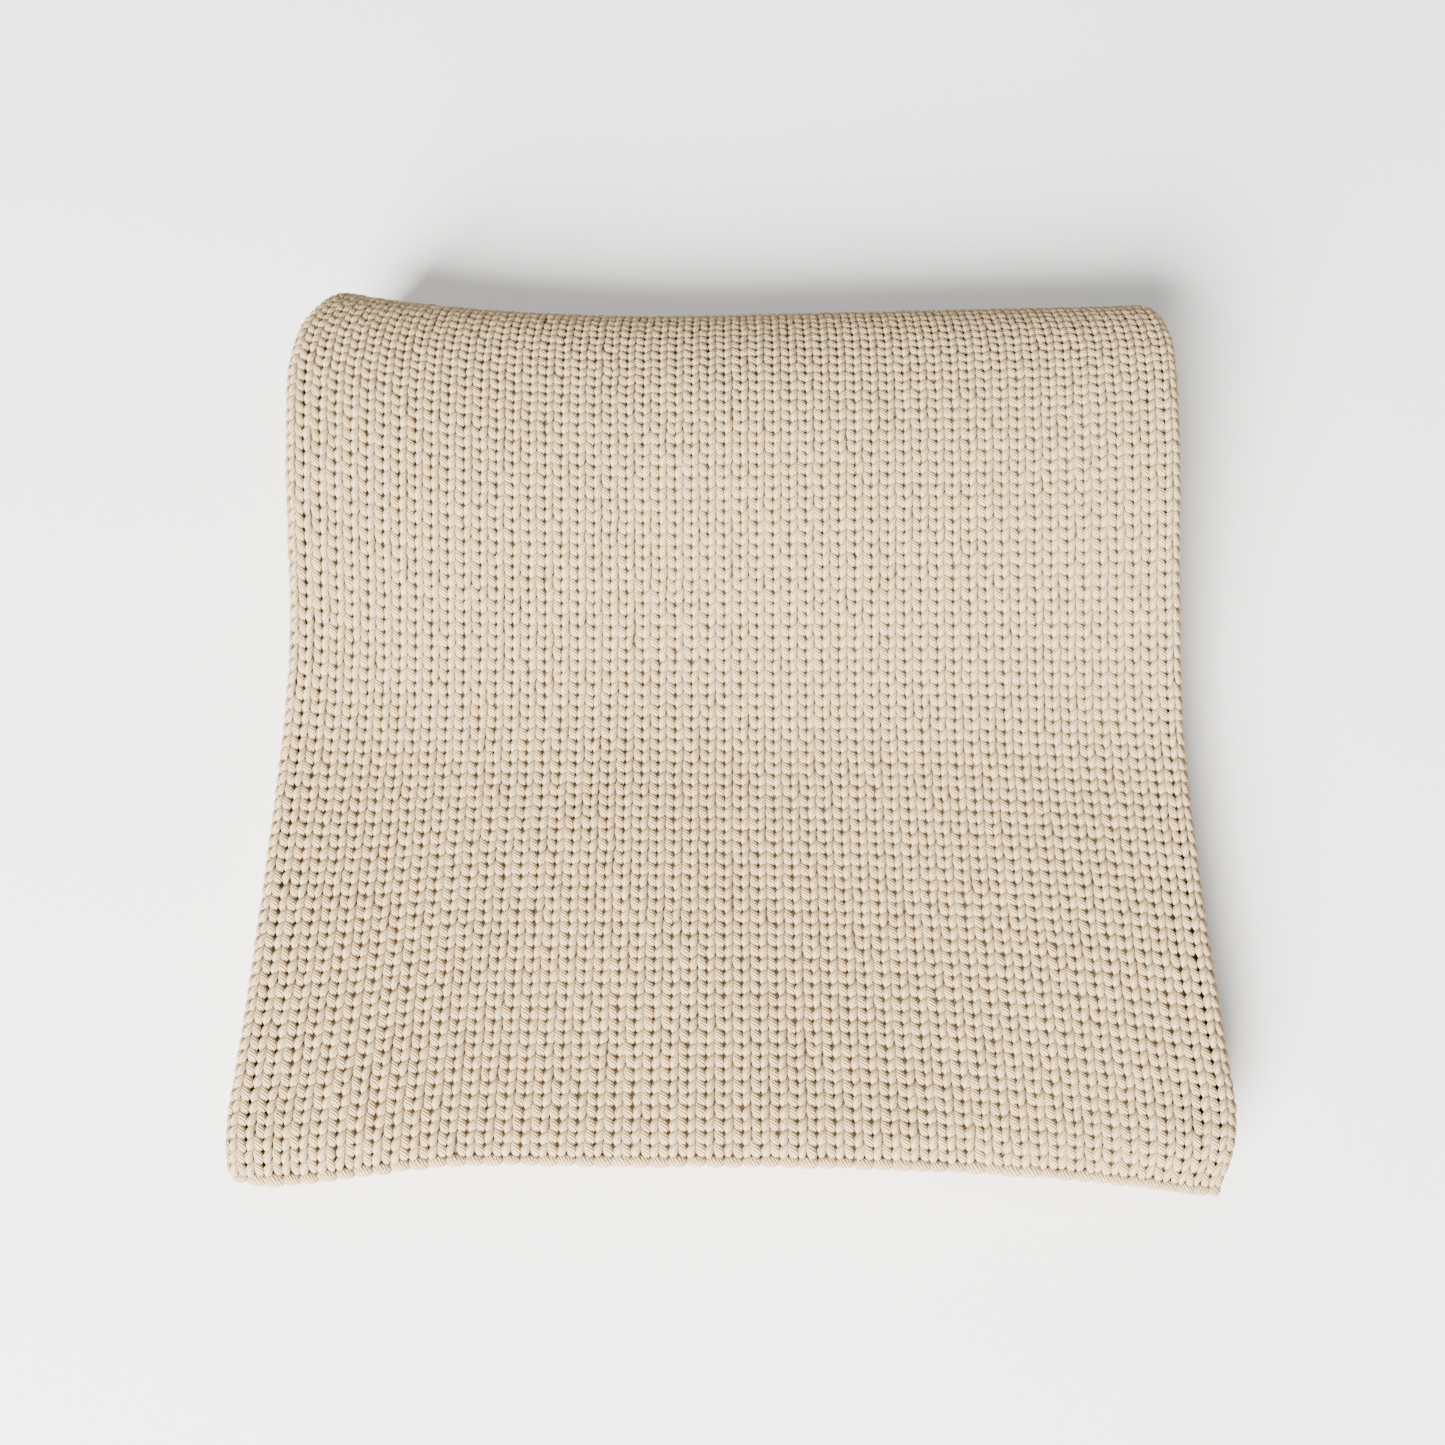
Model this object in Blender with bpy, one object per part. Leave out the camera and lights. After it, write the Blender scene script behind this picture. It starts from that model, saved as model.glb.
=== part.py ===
"""Folded throw blanket: a chunky knitted throw, folded in thirds both ways into a soft square.

The throw is first folded in thirds across its width, which makes a strip of three layers:
the face layer outside, then the left third, then the right third. The strip is then folded
in thirds along its length. The bottom strip lies flat, the middle strip is turned in over
the near fold and lies on it, and the top strip comes over the lofty far fold and ends in
the cast-on edge, which overhangs the near fold. The bound-off edge is inside, at the end of
the middle strip.

Frame: metres, +Z up, +Y towards the far fold, +X to the right. The origin is under the
centre of the folded throw, on the surface that it lies on.

The strip follows one path in the YZ plane. Every station of that path is a point on the
strip's outer face, with the inward normal there and half the strip's width. Each layer is
swept between two depths below that face.
"""

import math

import bpy

# Cloth
CLOTH = 0.0040  # thickness of one knitted layer, pressed by its own weight
LAYER_GAP = 0.0003  # clearance between layers, and between panels that meet end to end
TURN_GAP = 0.0006  # between the bottom strip and the middle strip that is turned in on it
LAYERS = ("face", "left_third", "right_third")  # from the outside of the strip inwards

# Folded size
DEPTH = 0.432  # near edge to the back of the far fold
WAIST = 0.434  # width at the waist, half way back
FLARE = 0.0085  # each side stands out this much at FLARE_REACH in front of and behind the waist
FLARE_REACH = 0.200
FAR_FOLD_RADIUS = 0.0360  # outside radius of the lofty far fold
FAR_FOLD_PULL_IN = 0.0090  # each side is drawn in this much at the back of the far fold

# Top strip
RISE_RUN = 0.215  # length over which the top strip climbs to the far fold
DROOP_RADIUS = 0.045  # bend of the edge that overhangs the near fold
DROOP_ANGLE = math.radians(20)
OVERHANG = 0.015  # the free edge stands this far out over the near fold
CORNER_RADIUS = 0.020  # rounded corners of the free ends, seen from above

# Edges and folds
EDGE_CHAIN = CLOTH  # diameter of the cast-on and bound-off chains, the thickness of their layer
BOUND_OFF_SETBACK = 0.012  # the middle strip stops this far short of the far fold's centre
HINGE_TURN = math.radians(45)  # where the far fold is cut: it bends open at 45 and 135 degrees

# Facets
EDGE_SEGMENTS = 4  # round side edge of a layer
ARC_STEP = math.radians(15)  # largest step along a bend

# Derived sizes
PITCH = CLOTH + LAYER_GAP
STRIP = len(LAYERS) * PITCH - LAYER_GAP  # thickness of a strip of three layers
NEAR_FOLD_RADIUS = STRIP + TURN_GAP / 2
MIDDLE_TOP = 2 * NEAR_FOLD_RADIUS
TOP_HEIGHT = MIDDLE_TOP + LAYER_GAP + STRIP  # top strip where it lies on the middle strip
FAR_Y = DEPTH / 2 - FAR_FOLD_RADIUS  # centre of the far fold
CHAIN_REACH = LAYER_GAP + EDGE_CHAIN / 2  # from a free end to the middle of its edge chain
CHAIN_OUT = CHAIN_REACH * math.cos(DROOP_ANGLE) - CLOTH / 2 * math.sin(DROOP_ANGLE)
NEAR_EDGE_Y = -DEPTH / 2 + EDGE_CHAIN / 2 + CHAIN_OUT  # end of the top strip's outer face
DROOP_Y = NEAR_EDGE_Y + DROOP_RADIUS * math.sin(DROOP_ANGLE)
NEAR_Y = NEAR_EDGE_Y + OVERHANG + NEAR_FOLD_RADIUS  # centre of the near fold
BOUND_OFF_Y = FAR_Y - BOUND_OFF_SETBACK

COLOURS = {
    "face": (0.73, 0.63, 0.50, 1.0),
    "left_third": (0.69, 0.59, 0.47, 1.0),
    "right_third": (0.66, 0.56, 0.44, 1.0),
    "edge": (0.76, 0.67, 0.54, 1.0),
}


def clear_scene():
    """Remove every object, so that the script can be run again."""
    for old in list(bpy.data.objects):
        bpy.data.objects.remove(old, do_unlink=True)


def knit_material(name, colour):
    """A dry, rough cotton yarn."""
    material = bpy.data.materials.new(name)
    material.use_nodes = True
    shader = material.node_tree.nodes["Principled BSDF"]
    shader.inputs["Base Color"].default_value = colour
    shader.inputs["Roughness"].default_value = 0.9
    shader.inputs["Metallic"].default_value = 0.0
    material.diffuse_color = colour
    return material


def half_width(y):
    """Half the strip's width at y: a waist in the middle that flares to both ends."""
    return WAIST / 2 + FLARE * (y / FLARE_REACH) ** 2


def steps(start, end, largest):
    """Evenly spaced values from start to end, no further apart than largest."""
    count = max(1, math.ceil(abs(end - start) / largest - 1e-9))
    return [start + (end - start) * i / count for i in range(count + 1)]


def station(y, z, inward, width=None):
    """One station of the strip: its outer face, its inward normal and half its width."""
    return (y, z, inward[0], inward[1], half_width(y) if width is None else width)


def far_fold(start, end):
    """The far fold from one turn angle to another: 0 is underneath, 180 degrees is on top."""
    out = []
    for turn in steps(start, end, ARC_STEP):
        y = FAR_Y + FAR_FOLD_RADIUS * math.sin(turn)
        z = FAR_FOLD_RADIUS * (1 - math.cos(turn))
        width = half_width(FAR_Y) - FAR_FOLD_PULL_IN * math.sin(turn) ** 2
        out.append(station(y, z, (-math.sin(turn), math.cos(turn)), width))
    return out


def near_fold():
    """The near fold, from the bottom strip up and back to the middle strip."""
    out = []
    for turn in steps(0.0, math.pi, 1.5 * ARC_STEP):
        y = NEAR_Y - NEAR_FOLD_RADIUS * math.sin(turn)
        z = NEAR_FOLD_RADIUS * (1 - math.cos(turn))
        out.append(station(y, z, (math.sin(turn), math.cos(turn))))
    return out


def flat_run(start, end, z, up):
    """A level run of the strip from y=start to y=end; up is the sign of its inward normal."""
    return [station(y, z, (0.0, up)) for y in steps(start, end, 0.06)]


def top_rise():
    """The top strip from where it lies flat up to the crest of the far fold.

    Its height is a smooth step: 3t^2 - 2t^3 of the climb, with t the share of RISE_RUN.
    """
    climb = 2 * FAR_FOLD_RADIUS - TOP_HEIGHT
    out = []
    for t in steps(0.0, 1.0, 0.1):
        slope = climb / RISE_RUN * 6 * t * (1 - t)
        length = math.hypot(1.0, slope)
        y = FAR_Y - RISE_RUN * (1 - t)
        out.append(station(y, TOP_HEIGHT + climb * t * t * (3 - 2 * t), (slope / length, -1 / length)))
    return out


def droop():
    """The overhanging end of the top strip, from its edge back to where it lies flat."""
    out = []
    for turn in steps(DROOP_ANGLE, 0.0, DROOP_ANGLE / 5):
        y = DROOP_Y - DROOP_RADIUS * math.sin(turn)
        z = TOP_HEIGHT - DROOP_RADIUS * (1 - math.cos(turn))
        out.append(station(y, z, (math.sin(turn), -math.cos(turn))))
    return out


def round_corners(path, from_start):
    """Round the two corners of a free end: the width follows a quarter circle there."""
    ordered = path if from_start else path[::-1]
    out = []
    run = 0.0
    for number, (y, z, ny, nz, width) in enumerate(ordered):
        if number:
            run += math.dist((y, z), ordered[number - 1][:2])
        short = max(0.0, CORNER_RADIUS - run)
        width -= CORNER_RADIUS - math.sqrt(CORNER_RADIUS**2 - short**2)
        out.append((y, z, ny, nz, width))
    return out if from_start else out[::-1]


def layer_section(at, outer, inner):
    """A layer's cross-section at a station, as points around it: flat faces and round edges."""
    y, z, ny, nz, width = at
    radius = (inner - outer) / 2
    middle = (inner + outer) / 2
    points = []
    for side in (1, -1):
        for number in range(EDGE_SEGMENTS + 1):
            turn = math.pi * (number / EDGE_SEGMENTS - 0.5)
            x = side * (width - radius + radius * math.cos(turn))
            depth = middle + side * radius * math.sin(turn)
            points.append((x, y + ny * depth, z + nz * depth))
    return points


def tube_section(x, y, z, radius):
    """A regular octagon around a point of an edge chain, in the plane across X."""
    turns = [math.pi * number / 4 for number in range(8)]
    return [(x, y + radius * math.cos(turn), z + radius * math.sin(turn)) for turn in turns]


def add_solid(name, sections, material):
    """Join sections into one closed solid, with faces out, and add it to the scene."""
    count = len(sections[0])
    points = [point for section in sections for point in section]
    faces = []
    for ring in range(len(sections) - 1):
        low = ring * count
        for i in range(count):
            j = (i + 1) % count
            faces.append((low + i, low + j, low + count + j, low + count + i))
    faces.append(tuple(reversed(range(count))))
    faces.append(tuple(range(len(points) - count, len(points))))
    mesh = bpy.data.meshes.new(name)
    mesh.from_pydata(points, [], faces)
    mesh.validate()
    if signed_volume(mesh) < 0:
        mesh.flip_normals()
    mesh.shade_smooth()
    mesh.set_sharp_from_angle(angle=math.radians(50))
    mesh.materials.append(material)
    solid = bpy.data.objects.new(name, mesh)
    bpy.context.collection.objects.link(solid)
    return solid


def signed_volume(mesh):
    """The volume inside a closed mesh, negative where its faces point in."""
    mesh.calc_loop_triangles()
    total = 0.0
    for triangle in mesh.loop_triangles:
        a, b, c = (mesh.vertices[index].co for index in triangle.vertices)
        total += a.dot(b.cross(c)) / 6
    return total


def add_panel(name, path, materials):
    """A run of the strip as three layers, one inside the other."""
    for depth, layer in enumerate(LAYERS):
        outer = depth * PITCH
        sections = [layer_section(at, outer, outer + CLOTH) for at in path]
        add_solid(f"{name}_{layer}", sections, materials[layer])


def add_edge_chains(name, end, outward, materials):
    """The chained edge that closes each of the three layers at a free end of the strip.

    end is the strip's last station, and outward points along the strip, off its end.
    """
    y, z, ny, nz, width = end
    for depth, layer in enumerate(LAYERS):
        centre = depth * PITCH + CLOTH / 2
        cy = y + ny * centre + outward[0] * CHAIN_REACH
        cz = z + nz * centre + outward[1] * CHAIN_REACH
        half = width - EDGE_CHAIN / 2
        ends = [(-half, 0.5), (-half + EDGE_CHAIN / 2, 1), (half - EDGE_CHAIN / 2, 1), (half, 0.5)]
        sections = [tube_section(x, cy, cz, share * EDGE_CHAIN / 2) for x, share in ends]
        add_solid(f"{name}_{layer}", sections, materials["edge"])


def build():
    """Build the throw from its free end on top round to its free end inside."""
    clear_scene()
    materials = {key: knit_material(f"knit_{key}", colour) for key, colour in COLOURS.items()}
    cut_gap = LAYER_GAP / 2 / (FAR_FOLD_RADIUS - STRIP)  # half the gap at a cut, as an angle

    crest = far_fold(math.pi, math.pi - HINGE_TURN + cut_gap)
    level = flat_run(DROOP_Y, FAR_Y - RISE_RUN, TOP_HEIGHT, -1.0)
    top = droop()[:-1] + level[:-1] + top_rise() + crest[1:]
    top = round_corners(top, from_start=True)
    add_panel("top_strip", top, materials)
    add_edge_chains("cast_on_edge", top[0], (-math.cos(DROOP_ANGLE), -math.sin(DROOP_ANGLE)), materials)

    back = far_fold(math.pi - HINGE_TURN - cut_gap, HINGE_TURN + cut_gap)
    add_panel("far_fold", back, materials)

    underside = flat_run(NEAR_Y + LAYER_GAP, FAR_Y, 0.0, 1.0)
    upturn = far_fold(0.0, HINGE_TURN - cut_gap)
    add_panel("bottom_strip", underside + upturn[1:], materials)

    add_panel("near_fold", near_fold(), materials)

    middle = flat_run(NEAR_Y + LAYER_GAP, BOUND_OFF_Y - 2 * CORNER_RADIUS, MIDDLE_TOP, -1.0)
    rounded = [station(y, MIDDLE_TOP, (0.0, -1.0)) for y in steps(
        BOUND_OFF_Y - CORNER_RADIUS, BOUND_OFF_Y, CORNER_RADIUS / 4)]
    middle = round_corners(middle + rounded, from_start=False)
    add_panel("middle_strip", middle, materials)
    add_edge_chains("bound_off_edge", middle[-1], (1.0, 0.0), materials)


build()
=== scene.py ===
"""The looks of a chunky knitted throw, folded in thirds both ways.

The throw is one cloth in plain stockinette. Its folded strip follows one path in the YZ plane, and
every stitch has a place on that strip: a course number along the path and a wale number around the
strip. Both legs of every stitch are real yarn on a base cloth folded in three, whose dark colour is
painted shade in the gaps between the legs.
"""

import logging
import math
from collections.abc import Iterator
from dataclasses import dataclass, field
from enum import Enum

import bpy
import numpy as np
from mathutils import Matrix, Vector


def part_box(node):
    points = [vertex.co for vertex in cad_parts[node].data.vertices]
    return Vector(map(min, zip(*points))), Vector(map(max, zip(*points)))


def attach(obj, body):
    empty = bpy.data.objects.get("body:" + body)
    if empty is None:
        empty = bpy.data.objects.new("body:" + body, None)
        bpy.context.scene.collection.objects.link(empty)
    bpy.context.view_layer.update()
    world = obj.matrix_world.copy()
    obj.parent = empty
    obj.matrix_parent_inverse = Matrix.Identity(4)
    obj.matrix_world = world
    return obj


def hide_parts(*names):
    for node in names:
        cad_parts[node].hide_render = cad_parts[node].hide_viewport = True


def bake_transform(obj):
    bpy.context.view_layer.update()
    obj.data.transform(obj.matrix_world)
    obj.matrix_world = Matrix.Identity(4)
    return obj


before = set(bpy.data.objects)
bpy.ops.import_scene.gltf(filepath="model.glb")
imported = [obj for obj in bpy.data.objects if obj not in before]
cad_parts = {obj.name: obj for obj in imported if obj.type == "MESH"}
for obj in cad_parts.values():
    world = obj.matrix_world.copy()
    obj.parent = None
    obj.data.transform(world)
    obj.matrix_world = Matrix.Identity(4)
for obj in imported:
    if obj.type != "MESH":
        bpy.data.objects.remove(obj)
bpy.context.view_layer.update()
LOG = logging.getLogger("throw")

Array = np.ndarray
Colour = tuple[float, float, float]
Rides = str | tuple[str, str]  # the body that a piece rides on, or two bodies, for a piece that is only fixed in place

WALES = 56  # columns of stitches across the face, from the middle of one side to the other
COURSE = 0.00553  # height of one course of stitches, along the strip
WALE = 0.0079  # breadth of one wale at the free near edge
FACE_WALES = (-1, 58)  # first wale of the face's patches, and one past their last
BACK_WALES = (58, 111)  # the same for the back of the strip, as far as the selvage
SELVAGE_WALE = 111.1  # wale count of the selvage's chain
MIRROR_WALE = WALES + 0.6  # past this count a point is on the strip's back, which mirrors the face


class Build(Enum):
    """How finely a stitch is modelled."""

    FINE = (8, 6)  # rings along a leg, sides around it
    PLAIN = (4, 4)


# ---------------------------------------------------------------- finishes


class ShaderTree:
    """A new material's nodes, built up around its Principled shader."""

    def __init__(self, name: str, roughness: float) -> None:
        """Start a material.

        Args:
            name: the material's name.
            roughness: roughness of the whole surface.
        """
        self.material = bpy.data.materials.new(name)
        self.material.use_nodes = True
        self.nodes = self.material.node_tree.nodes
        self.links = self.material.node_tree.links
        self.shader = self.nodes["Principled BSDF"]
        self.shader.inputs["Roughness"].default_value = roughness
        self.place = self.nodes.new("ShaderNodeTexCoord")

    def math(
        self, operation: str, value: bpy.types.NodeSocket, *others: float | bpy.types.NodeSocket
    ) -> bpy.types.NodeSocket:
        """Add a Math node.

        Args:
            operation: the node's operation.
            value: the socket that it starts from.
            others: the numbers or sockets that it combines with the first.

        Returns:
            The socket of its result.
        """
        node = self.nodes.new("ShaderNodeMath")
        node.operation = operation
        self.links.new(value, node.inputs[0])
        for slot, other in zip(node.inputs[1:], others):
            if isinstance(other, bpy.types.NodeSocket):
                self.links.new(other, slot)
            else:
                slot.default_value = other
        return node.outputs[0]

    def noise(self, scale: float, detail: float) -> bpy.types.NodeSocket:
        """Add a Noise texture on Object coordinates.

        Args:
            scale: how fine it is.
            detail: how many finer octaves it has.

        Returns:
            The socket of its value, 0 to 1.
        """
        node = self.nodes.new("ShaderNodeTexNoise")
        node.inputs["Scale"].default_value = scale
        node.inputs["Detail"].default_value = detail
        self.links.new(self.place.outputs["Object"], node.inputs["Vector"])
        return node.outputs["Fac"]

    def colour(self, low: Colour, high: Colour, level: bpy.types.NodeSocket) -> None:
        """Mix two colours into the shader's base colour.

        Args:
            low: the colour at level 0.
            high: the colour at level 1.
            level: the socket that chooses between them.
        """
        mix = self.nodes.new("ShaderNodeMix")
        mix.data_type = "RGBA"
        mix.inputs["A"].default_value = (*low, 1.0)
        mix.inputs["B"].default_value = (*high, 1.0)
        self.links.new(level, mix.inputs["Factor"])
        self.links.new(mix.outputs["Result"], self.shader.inputs["Base Color"])

    def bump(self, height: bpy.types.NodeSocket, strength: float, distance: float) -> None:
        """Roughen the surface.

        Args:
            height: the socket of the relief's height.
            strength: how strongly it tilts the surface.
            distance: how deep it is, in metres.
        """
        node = self.nodes.new("ShaderNodeBump")
        node.inputs["Strength"].default_value = strength
        node.inputs["Distance"].default_value = distance
        self.links.new(height, node.inputs["Height"])
        self.links.new(node.outputs["Normal"], self.shader.inputs["Normal"])


@dataclass(frozen=True)
class YarnFinish:
    """Dry, plied cotton yarn: a ply twist in relief, whose two tones in the colour are painted
    highlight and painted shade, fibre mottling and a faint bloom.
    """

    name: str
    light: Colour
    shade: Colour
    plies: float = 6.0
    # how far the ply sine moves the colour: painted highlight on the plies and painted shade between
    # them
    ply_highlight_depth: float = 0.55
    roughness: float = 0.92
    sheen: float = 0.20
    sheen_roughness: float = 0.6
    gloss: float = 0.25
    fibre_scale: float = 1400.0
    mottle_scale: float = 60.0
    mottle: float = 0.30  # how far each of the two noises moves the tone, from end to end
    bump_strength: float = 0.9
    bump_depth: float = 0.0005

    def build(self) -> bpy.types.Material:
        """Make the material.

        Returns:
            A material whose colour and bump follow the yarn's own UV map: U runs around the yarn and V
            along it, and the plies are a sine of U. In the bump the sine is their relief; in the colour
            it is painted highlight on the plies and painted shade between them. The attribute "tone"
            gives each stitch its own lightness.
        """
        tree = ShaderTree(self.name, self.roughness)
        tree.shader.inputs["Sheen Weight"].default_value = self.sheen
        tree.shader.inputs["Sheen Roughness"].default_value = self.sheen_roughness
        tree.shader.inputs["Specular IOR Level"].default_value = self.gloss

        uv = tree.nodes.new("ShaderNodeUVMap")
        uv.uv_map = "yarn"
        split = tree.nodes.new("ShaderNodeSeparateXYZ")
        tree.links.new(uv.outputs["UV"], split.inputs["Vector"])
        turns = tree.math("MULTIPLY", split.outputs["X"], 2 * math.pi * self.plies)
        ply = tree.math("MULTIPLY_ADD", tree.math("SINE", turns), 0.5, 0.5)
        fibre = tree.noise(self.fibre_scale, 3.0)
        patches = tree.noise(self.mottle_scale, 2.0)

        tone = tree.nodes.new("ShaderNodeAttribute")
        tone.attribute_name = "tone"
        # the ply sine in the colour: painted highlight on the plies and painted shade between them
        level = tree.math("MULTIPLY", ply, self.ply_highlight_depth)
        level = tree.math("ADD", level, tone.outputs["Fac"])
        for noise in (fibre, patches):
            centred = tree.math("MULTIPLY_ADD", noise, self.mottle, -self.mottle / 2)
            level = tree.math("ADD", level, centred)
        tree.colour(self.shade, self.light, level)
        tree.bump(tree.math("ADD", ply, fibre), self.bump_strength, self.bump_depth)
        return tree.material


@dataclass(frozen=True)
class PlainFinish:
    """A matt surface with a faint mottle: the ground cloth between stitches, whose dark colours are
    painted shade in the gaps, and the floor.
    """

    name: str
    dark: Colour
    light: Colour
    scale: float
    roughness: float = 0.95

    def build(self) -> bpy.types.Material:
        """Make the material: a noise on Object coordinates mixes the two colours."""
        tree = ShaderTree(self.name, self.roughness)
        tree.colour(self.dark, self.light, tree.noise(self.scale, 2.0))
        return tree.material


# the yarn's two colours: the ply sine mixes them as painted highlight and shade, and each stitch's tone
# moves between them at random
YARN = YarnFinish("cream_yarn", (0.62, 0.450, 0.232), (0.35, 0.232, 0.104))
# the same cream yarn made darker for the cast-on and bound-off edges and the selvages: painted shade
SHADED_EDGE_YARN = YarnFinish("cream_yarn_painted_edge_shade", (0.49, 0.352, 0.182), (0.31, 0.208, 0.098))
# dark sheet under the stitches: painted shade where the gaps between the legs look into the knit
GROUND_SHADE = PlainFinish("ground_painted_shade", (0.31, 0.235, 0.145), (0.42, 0.325, 0.205), 300.0)
PALE_FLOOR = PlainFinish("pale_floor", (0.86, 0.86, 0.86), (0.88, 0.88, 0.88), 3.0)


# ---------------------------------------------------------------- helpers


def ramp(value: Array | float, start: float, run: float, most: float = 1.0) -> Array:
    """How far a value has gone past a start.

    Args:
        value: the values.
        start: where the ramp leaves 0.
        run: the length in which it climbs by 1.
        most: where it stops.

    Returns:
        (value - start) / run, kept between 0 and most.
    """
    return np.clip((value - start) / run, 0, most)


def smooth(share: Array) -> Array:
    """The smooth step of a share t from 0 to 1: 3t squared less 2t cubed."""
    return share * share * (3 - 2 * share)


def spans(s_range: tuple[float, float], count: int) -> Iterator[tuple[str, tuple[float, float]]]:
    """Split a length of the strip into equal spans.

    Args:
        s_range: where it starts and ends.
        count: how many spans.

    Yields:
        The ending of each span's name, empty for a single one, and its own start and end.
    """
    cuts = np.linspace(*s_range, count + 1)
    for number, (low, high) in enumerate(zip(cuts[:-1], cuts[1:]), start=1):
        yield (f"_{number}" if count > 1 else ""), (low, high)


def steps_between(s_range: tuple[float, float], pitch: float) -> Array:
    """Middles of the steps of a pitch, counted from 0, that start between two distances.

    Args:
        s_range: the two distances.
        pitch: length of a step.

    Returns:
        Their distances. Neighbouring ranges share no step and leave none out.
    """
    first, last = (math.ceil(round(s / pitch, 6)) for s in s_range)
    return (np.arange(first, last) + 0.5) * pitch


def mesh_object(
    name: str,
    points: Array,
    faces: list[Array],
    material: bpy.types.Material,
    uv: Array | None = None,
    tone: Array | None = None,
) -> bpy.types.Object:
    """Make a smooth mesh object at the origin from whole arrays.

    Args:
        name: the object's name.
        points: vertices, (n, 3), in metres.
        faces: arrays of vertex numbers, one array per face size, each (count, corners).
        material: the finish.
        uv: texture coordinates of every corner, in the order of faces, (corners, 2).
        tone: one value per vertex, kept as the attribute "tone".

    Returns:
        The new object, linked to the scene.
    """
    mesh = bpy.data.meshes.new(name)
    sizes = np.concatenate([np.full(len(part), part.shape[1]) for part in faces])
    loops = np.concatenate([part.ravel() for part in faces])
    mesh.vertices.add(len(points))
    mesh.vertices.foreach_set("co", points.astype(np.float32).ravel())
    mesh.loops.add(len(loops))
    mesh.loops.foreach_set("vertex_index", loops.astype(np.int32))
    mesh.polygons.add(len(sizes))
    starts = np.concatenate([[0], np.cumsum(sizes)[:-1]])
    mesh.polygons.foreach_set("loop_start", starts.astype(np.int32))
    mesh.update(calc_edges=True)
    mesh.validate()
    mesh.shade_smooth()
    if uv is not None:
        layer = mesh.uv_layers.new(name="yarn")
        layer.data.foreach_set("uv", uv.astype(np.float32).ravel())
    values = np.full(len(points), 0.5) if tone is None else tone
    attribute = mesh.attributes.new("tone", "FLOAT", "POINT")
    attribute.data.foreach_set("value", values.astype(np.float32))
    mesh.materials.append(material)
    item = bpy.data.objects.new(name, mesh)
    bpy.context.scene.collection.objects.link(item)
    return item


@dataclass(frozen=True)
class YarnTubes:
    """The faces and UVs of many equal closed tubes, whose points run ring by ring."""

    count: int
    rings: int
    sides: int
    twist: float  # turns that U is slanted by from one end of a tube to the other
    inside_out: bool = False  # whether the points run round the other way

    def _grid(self) -> tuple[Array, Array]:
        """The ring and side number of every quad of one tube."""
        return np.meshgrid(np.arange(self.rings - 1), np.arange(self.sides), indexing="ij")

    def faces(self) -> tuple[Array, Array]:
        """Join the points.

        Returns:
            Quads round the walls, and the two end caps of each tube.
        """
        ring, side = self._grid()
        a = ring * self.sides + side
        b = ring * self.sides + (side + 1) % self.sides
        quads = np.stack([a, b, b + self.sides, a + self.sides], axis=-1).reshape(-1, 4)
        foot = np.arange(self.sides)
        caps = np.stack([foot[::-1], (self.rings - 1) * self.sides + foot])
        if self.inside_out:
            quads, caps = quads[:, ::-1], caps[:, ::-1]
        base = np.arange(self.count)[:, None, None] * self.rings * self.sides
        return (base + quads).reshape(-1, 4), (base + caps).reshape(-1, self.sides)

    def uv(self) -> tuple[Array, Array]:
        """Lay the yarn's texture out, U around the tube and V along it.

        Returns:
            The coordinates of the quads' corners and of the caps' corners, (corners, 2).
        """
        ring, side = self._grid()
        t = np.linspace(0.0, 1.0, self.rings)
        u = np.stack([side, side + 1, side + 1, side], axis=-1) / self.sides
        v = np.stack([t[ring], t[ring], t[ring + 1], t[ring + 1]], axis=-1)
        wall = np.stack([u + self.twist * v, v], axis=-1).reshape(-1, 2)
        cap = np.stack([np.arange(self.sides) / self.sides, np.zeros(self.sides)], axis=-1)
        return np.tile(wall, (self.count, 1)), np.tile(cap, (2 * self.count, 1))


# ---------------------------------------------------------------- the folded strip


@dataclass(frozen=True)
class Unevenness:
    """How far the soft cloth departs from the plain folded path. Left comes before right."""

    # along the strip, in metres
    edge_back: float = -0.0004  # the whole free edge
    edge_drop: tuple[float, float] = (0.0085, 0.0150)  # its corners hang forward
    edge_corner: tuple[float, float] = (0.5, 0.42)  # start and run of the left corner, in shares
    edge_fade: tuple[float, float] = (0.05, 0.20)  # start and run of the fade of both
    drawn_back: tuple[float, float] = (0.016, 0.003)  # the side edges towards the far fold
    drawn_power: float = 5.2
    drawn_start: tuple[float, float] = (0.10, 0.27)  # start and run
    drawn_end: float = 0.3  # length of its fade before the inner end
    # in plan
    far_middle: float = 0.15  # shift of the middle, as a share of half the width
    far_bend: tuple[float, float] = (0.0206, 0.0058)  # far fold: square on the left, line on the right
    far_shift: float = 0.0018
    far_run: float = 0.16
    side_power: int = 5
    waist_in: tuple[float, float, float] = (0.0030, 0.035, 0.05)  # depth, place and breadth, left
    far_corner: tuple[float, float, float] = (0.013, 0.14, 0.07)  # depth, start and run, left
    near_corner: tuple[float, float] = (0.0035, 0.0085)
    near_corner_start: tuple[float, float] = (0.18, 0.04)  # start and run
    # out of the surface: each wave's height, its phase per half width and per metre, and its first
    waves: tuple[tuple[float, float, float, float], ...] = (
        (0.0009, 7.0, 19.0, 0.7),
        (0.0007, -4.1, 33.0, 2.1),
        (0.0005, 11.0, -41.0, 4.4),
    )
    wave_fade: tuple[float, float] = (0.02, 0.05)  # end past the crest, and run
    wave_side: float = 0.25  # fade at the side edges, as a share of half the width


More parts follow.
